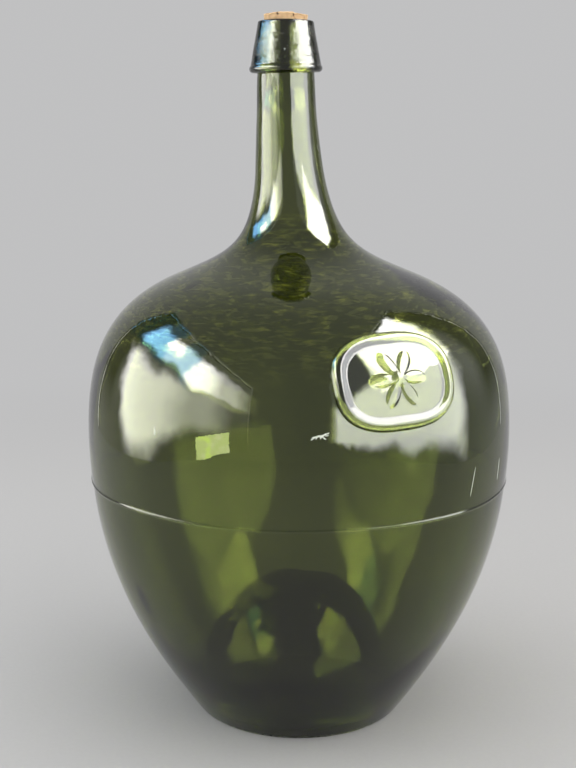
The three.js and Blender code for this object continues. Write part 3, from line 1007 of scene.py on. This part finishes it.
def cork_bung():
    """The tapered cork, pitted all over, with a chipped top that is broken lower at its right."""
    top = cork_high.z - cork_low.z
    bore_slope = (BORE_MOUTH_RADIUS - BORE_THROAT_RADIUS) / (MOUTH_HEIGHT - THROAT_HEIGHT)
    radius = cork_high.y - CORK_CLEARANCE / 2
    foot_radius = BORE_THROAT_RADIUS + bore_slope * (cork_low.z - THROAT_HEIGHT) - CORK_CLEARANCE
    foot = [at(foot_radius * ring / CORK_FOOT_RINGS, 0) for ring in range(CORK_FOOT_RINGS)]
    foot.append(at(foot_radius - CORK_EDGE, 0))
    side_foot = at(foot_radius, CORK_EDGE)
    side_top = at(radius, top - CORK_EDGE)
    side = [side_foot.lerp(side_top, step / CORK_SIDE_STEPS) for step in range(CORK_SIDE_STEPS + 1)]
    inner_radius = radius - CORK_EDGE
    edge = arc(at(inner_radius, top - CORK_EDGE), CORK_EDGE, 20, 90, 4)[:-1]
    cap = [at(inner_radius * (1 - ring / CORK_TOP_RINGS), top) for ring in range(CORK_TOP_RINGS + 1)]
    bm = new_bmesh_ring(foot + side + edge + cap, CORK_SIDES)
    for vert in bm.verts:
        place = vert.co.copy()
        from_axis = place.xy.length
        crown = smooth(place.z, top - CORK_CROWN_REACH, top)
        lumps = CORK_LUMPS * noise.noise(place * 240) + CORK_FINE_LUMPS * noise.noise(place * 620)
        pit = CORK_PITS * max(0, noise.noise(place * 210 + UP) - CORK_PIT_RARITY)
        worn = smooth(from_axis / radius, CORK_CHIPS_START, 1)
        chip = CORK_CHIPS * max(0, noise.noise(place * 115 + 3 * UP)) * worn
        chip += CORK_BROKEN_EDGE * smooth(place.x / radius, *CORK_BROKEN_START)
        slope = CORK_TOP_SINK * (1 - place.x / radius * 0.25)
        bulge = CORK_TOP_CROWN * (from_axis / radius) ** 2
        vert.co.z -= crown * (slope + bulge + pit + chip - lumps)
        worn_in = min(0, lumps - CORK_LUMPS - pit * 0.5) * (1 - crown)
        vert.co += vert.normal * worn_in * smooth(place.z, 0, 1 * MM)
    bmesh.ops.translate(bm, verts=bm.verts, vec=(-NECK_LEAN, 0, cork_low.z))
    finished("cork_bung", bm, natural_cork(), "cork", "natural_cork", "cork_stopper")


def tag_slip():
    """A torn slip of paper that follows the glass and curls off it at two edges."""
    place = place_on_glass(TAG_AZIMUTH, TAG_CENTRE_HEIGHT, TAG_TILT)
    bm = bmesh.new()
    bmesh.ops.create_grid(bm, x_segments=TAG_COLUMNS, y_segments=TAG_ROWS, size=0.5)
    bmesh.ops.scale(bm, verts=bm.verts, vec=(TAG_WIDTH, TAG_HEIGHT, 1))
    for vert in bm.verts:
        x, y = vert.co.x, vert.co.y
        side = x / (TAG_WIDTH / 2)
        level = y / (TAG_HEIGHT / 2)
        ragged = TAG_RAGGED * noise.noise(Vector((x, y, 0)) * 800)
        ragged += TAG_RAGGED_WIDE * noise.noise(Vector((x, y, 1)) * 300)
        torn = TAG_TEAR * smooth(x, *TAG_TEAR_START) * (1 - level) / 2
        vert.co.x += ragged * abs(side) ** 6 + TAG_SLANT[0] * y
        vert.co.y += torn + 1.2 * ragged * abs(level) ** 6 + TAG_SLANT[1] * x
    lifts = {}
    for vert in bm.verts:
        flat = vert.co.xy
        curl = TAG_FOOT_CURL * smooth(-flat.y, *TAG_FOOT_CURL_START)
        curl += TAG_SIDE_CURL * smooth(-flat.x, *TAG_SIDE_CURL_START)
        crinkle = TAG_CRINKLE * (1 + noise.noise(Vector((flat.x, flat.y, 0)) * 260))
        point, facing = lay(place, flat)
        vert.co = point + facing * (TAG_GLUE + crinkle + curl * 0.6)
        lifts[vert] = facing, TAG_THICKNESS
    thicken(bm, lifts, 0)
    finished("tag_slip", bm, tag_paper(), "bottle", "tag_paper", "paper_tag")


# The studio

FLOOR_RADIUS = 12.0
FLOOR_FADE = (0.5, 1.5)
FLOOR_COLOUR = (0.58, 0.575, 0.57, 1)
FLOOR_SHADE = tuple(0.94 * part for part in FLOOR_COLOUR[:3]) + (1,)
ROOM_COLOUR = (0.53, 0.53, 0.535, 1)
ROOM_LIGHT = 1.0


def staged(name, bm, material):
    """Makes the bmesh an object of the studio."""
    mesh = bpy.data.meshes.new(name)
    bm.to_mesh(mesh)
    bm.free()
    mesh.materials.append(material)
    made = bpy.data.objects.new(name, mesh)
    bpy.context.scene.collection.objects.link(made)
    return made


def floor():
    """A pale floor that fades into the room far from the bottle."""
    finish = Finish("pale_floor")
    place = finish.place()
    colour = finish.mixed(finish.noise(place, 300, detail=3), FLOOR_COLOUR, FLOOR_SHADE)
    ground = finish.node("ShaderNodeBsdfDiffuse", inputs={"Color": colour})
    room = finish.node("ShaderNodeEmission", inputs={"Color": ROOM_COLOUR, "Strength": ROOM_LIGHT})
    distance = finish.node("ShaderNodeVectorMath", {"operation": "LENGTH"}, {0: place}, "Value")
    share = finish.rise(distance, *FLOOR_FADE)
    shader = finish.node("ShaderNodeMixShader", inputs={0: share, 1: ground, 2: room})
    finish.tree.links.new(shader.socket, finish.output.inputs["Surface"])
    bm = bmesh.new()
    bmesh.ops.create_circle(bm, cap_ends=True, segments=96, radius=FLOOR_RADIUS)
    staged("floor", bm, finish.material)


def beside_bottle(made, azimuth, distance, shift, height):
    """Stands a pane or a lamp beside the bottle. Azimuth 0 is in front of it and 90 to its right."""
    angle = math.radians(azimuth)
    away = Vector((math.sin(angle), -math.cos(angle), 0))
    along = UP.cross(-away)
    turn = (away if made.type == "LIGHT" else -away).to_track_quat("Z", "Y")
    spot = away * distance + along * shift + UP * height
    made.matrix_world = Matrix.Translation(spot) @ turn.to_matrix().to_4x4()


def pane(name, look, azimuth, distance, shift, width, height):
    """A window that only the glass shows, as bright at each place as its look says."""
    finish = Finish(name)
    along, from_middle, _ = finish.split(finish.place())
    up = from_middle + height / 2
    colour, light, dim = look(finish, along, up)
    strength = framed(finish, along, up, width, height, light, dim)
    shader = finish.node("ShaderNodeEmission", inputs={"Color": colour, "Strength": strength})
    finish.tree.links.new(shader.socket, finish.output.inputs["Surface"])
    finish.material.cycles.emission_sampling = "NONE"
    bm = bmesh.new()
    bmesh.ops.create_grid(bm, x_segments=1, y_segments=1, size=0.5)
    bmesh.ops.scale(bm, verts=bm.verts, vec=(width, height, 1))
    made = staged(name, bm, finish.material)
    made.visible_camera = False
    made.visible_diffuse = False
    made.visible_shadow = False
    beside_bottle(made, azimuth, distance, shift, height / 2)


COOL_LIGHT = (0.93, 0.97, 1.0)
WARM_LIGHT = (1.0, 0.98, 0.95)
WHITE_LIGHT = (1.0, 1.0, 1.0)
OVERHEAD_HEIGHT = 2.6


def lamp(name, colour, light, azimuth, distance, width, height):
    """A tall soft lamp that lights the bottle and the floor but isn't seen in the glass."""
    data = bpy.data.lights.new(name, "AREA")
    data.shape = "RECTANGLE"
    data.size, data.size_y = width, height
    data.color = colour
    data.energy = light * math.pi * width * height
    made = bpy.data.objects.new(name, data)
    made.visible_camera = False
    made.visible_glossy = False
    made.visible_transmission = False
    bpy.context.scene.collection.objects.link(made)
    beside_bottle(made, azimuth, distance, 0, height / 2)
    return made


# Distances from a window's edge between which its bright line and its dark bar show
FRAME_LINE = (0.040, 0.045, 0.055, 0.065)
FRAME_BAR = (0.065, 0.070, 0.085, 0.100)
FRAME_UNEVENNESS = 0.09
FRAME_LINE_LIGHT = 2.2

# How much of a window's light is lost straight through the glass, and what reflections from within add to it
LOST_THROUGH = 0.88
GAINED_WITHIN = 2.48


def framed(finish, along, up, width, height, light, dim):
    """A window's light in its frame: haze with a dark bar and a bright line round it.

    Dim darkens the haze. Straight through the glass the window is almost as plain as the room,
    and where the glass reflects it from within, its light is stronger.
    """
    through = finish.node("ShaderNodeLightPath", output="Is Transmission Ray")
    reflections = finish.node("ShaderNodeLightPath", output="Glossy Depth")
    within = through * reflections.math("MINIMUM", reflections, 1)
    wander = FRAME_UNEVENNESS * (finish.noise(finish.place(), 5, detail=4) - 0.5)
    from_side = width / 2 - along.math("ABSOLUTE", along)
    from_edge = from_side.math("MINIMUM", from_side, height - up) + wander
    line = finish.band(from_edge, *FRAME_LINE)
    bar = finish.band(from_edge, *FRAME_BAR)
    haze = 0.5 + 0.5 * finish.rise(up, 0.15, 0.6)
    haze *= 1 - 0.85 * dim * finish.rise(up, 0.05, 0.4)
    haze *= 1 - bar
    plain = haze + through * (ROOM_COLOUR[0] - haze)
    kept = 1 - LOST_THROUGH * through + GAINED_WITHIN * within
    return plain + kept * (FRAME_LINE_LIGHT * line + light)


CLOUD = (1.0, 0.99, 0.95, 1)
CLEAR_SKY = (0.24, 0.57, 1.0, 1)
STREET = (0.97, 0.98, 1.0, 1)

SKY_LIGHT = 20
BLUE_SKY_LOSS = 10
WALL_LIGHT = 7.8
STREET_LIGHT = 8

# Places in the left window, in metres from its middle towards the back
CLOUD_PUFF = (0.42, 0.50, 0.68, 0.76)
BLUE_START = (0.12, 0.22)
DEEP_BLUE_START = (0.58, 0.70)
LEFT_SKY_END = (1.04, 1.18)
LEFT_DIM_START = (0.95, 1.15)

# Heights in the left window
PUFF_FOOT = (0.94, 1.00)
BLUE_FOOT = (0.60, 0.66)
LEFT_SKY_FOOT = (0.65, 0.73)
LEFT_SKY_TOP = (1.10, 1.24)
WALL_FOOT = (0.16, 0.32)
WALL_TOP = (0.60, 0.76)


def left_look(finish, along, up):
    """A low window: blue sky at its far end, cloud at its near end, and a pale wall below."""
    drift = finish.noise(finish.place(), 2.6, detail=4) - 0.5
    far = along + 0.4 * drift
    level = up + 0.3 * drift
    over_roofs = level - 0.13 * finish.rise(far, 0.1, 0.4)
    sky = finish.rise(over_roofs, *LEFT_SKY_FOOT)
    sky *= (1 - finish.rise(level, *LEFT_SKY_TOP)) * (1 - finish.rise(far, *LEFT_SKY_END))
    puff = finish.band(far, *CLOUD_PUFF) * finish.rise(level, *PUFF_FOOT)
    depth = 0.7 + 0.3 * finish.rise(far, *DEEP_BLUE_START)
    blue = finish.rise(far, *BLUE_START) * finish.rise(over_roofs, *BLUE_FOOT) * (1 - puff) * depth
    near = finish.rise(far, -1.6, -0.6, 0, 0.3) + finish.rise(far, -0.55, 0.0, 0, 0.7)
    wall = finish.rise(far, -1.0, -0.2, 0, 0.45) + finish.rise(far, 0.0, 0.4, 0, 0.55)
    wall *= 1 - finish.rise(far - 0.5 * up, 0.68, 0.86)
    wall *= 1 - finish.rise(level, *WALL_TOP)
    wall *= finish.rise(up + 0.12 * drift + 0.2 * finish.rise(far, -0.2, 0.6), *WALL_FOOT)
    light = sky * near * (SKY_LIGHT - BLUE_SKY_LOSS * blue) + WALL_LIGHT * wall
    dim = finish.rise(along, *LEFT_DIM_START)
    return finish.mixed(blue, CLOUD, CLEAR_SKY), light, dim


# Places in the right window, in metres from its middle towards the front
TALL_PART_END = (-0.25, -0.05)
RIGHT_LIGHT_START = (-1.20, -1.00)
RIGHT_LIGHT_END = (1.5, 2.1)
RIGHT_DIM_END = (-1.75, -1.45)

# Heights in the right window
RIGHT_SKY_FOOT = (0.77, 0.79)
RIGHT_SKY_TOP = (2.00, 2.12)
STREET_HEIGHTS = (0.02, 0.15, 0.95, 1.15)


def right_look(finish, along, up):
    """A tall window: bright sky over a grey street, and a lower light towards the front."""
    place = finish.place()
    drift = finish.noise(place, 2.2, detail=4) - 0.5
    roofs = finish.noise(place, 9.0, detail=2) - 0.5
    near = along + 0.3 * drift
    level = up + 0.3 * drift
    tall = 1 - finish.rise(near, *TALL_PART_END)
    sky = tall * finish.rise(up + 0.22 * roofs, *RIGHT_SKY_FOOT) * (1 - finish.rise(level, *RIGHT_SKY_TOP))
    street = finish.band(level, *STREET_HEIGHTS) * (1 - sky)
    ends = finish.rise(near + 0.3 * up, *RIGHT_LIGHT_START) * (1 - finish.rise(near, *RIGHT_LIGHT_END))
    light = ends * (SKY_LIGHT * sky + STREET_LIGHT * street)
    dim = 1 - finish.rise(along, *RIGHT_DIM_END)
    return finish.mixed(sky, STREET, CLOUD), light, dim


def world():
    """The pale room, which is also the light from all sides."""
    made = bpy.data.worlds.new("pale_room")
    bpy.context.scene.world = made
    made.use_nodes = True
    background = made.node_tree.nodes["Background"]
    background.inputs["Color"].default_value = ROOM_COLOUR
    background.inputs["Strength"].default_value = ROOM_LIGHT


def camera():
    """At the photograph's viewing angle. The bottle's axis stands a little left of the middle."""
    picture_height = 768
    focal_pixels = 1200
    axis_off_centre = 11
    distance = 0.900
    eye_height = 0.4235
    tilt_down = 0.190
    lens = bpy.data.cameras.new("camera")
    lens.sensor_width = 36
    lens.lens = lens.sensor_width * focal_pixels / picture_height
    eye = bpy.data.objects.new("camera", lens)
    eye.location = (0, -distance, eye_height)
    eye.rotation_euler = (math.pi / 2 - tilt_down, 0, math.atan(axis_off_centre / focal_pixels))
    bpy.context.scene.collection.objects.link(eye)
    bpy.context.scene.camera = eye


camera()
world()
floor()
pane("window_left", left_look, azimuth=-90, distance=1.0, shift=-0.68, width=3.05, height=1.45)
pane("window_right", right_look, azimuth=90, distance=1.0, shift=1.2, width=4.2, height=2.2)
lamp("lamp_left", COOL_LIGHT, 1.4, azimuth=-77, distance=1.4, width=2.2, height=1.35)
lamp("lamp_right", WARM_LIGHT, 1.1, azimuth=62, distance=1.5, width=3.2, height=2.5)
overhead = lamp("lamp_overhead", WHITE_LIGHT, 1.3, azimuth=0, distance=0, width=2.2, height=2.2)
overhead.matrix_world = Matrix.Translation((0, 0, OVERHEAD_HEIGHT))

blown_bottle()
lip_band()
stamped_seal()
bruise_marks()
cork_bung()
tag_slip()

bpy.context.scene.view_settings.view_transform = "Standard"
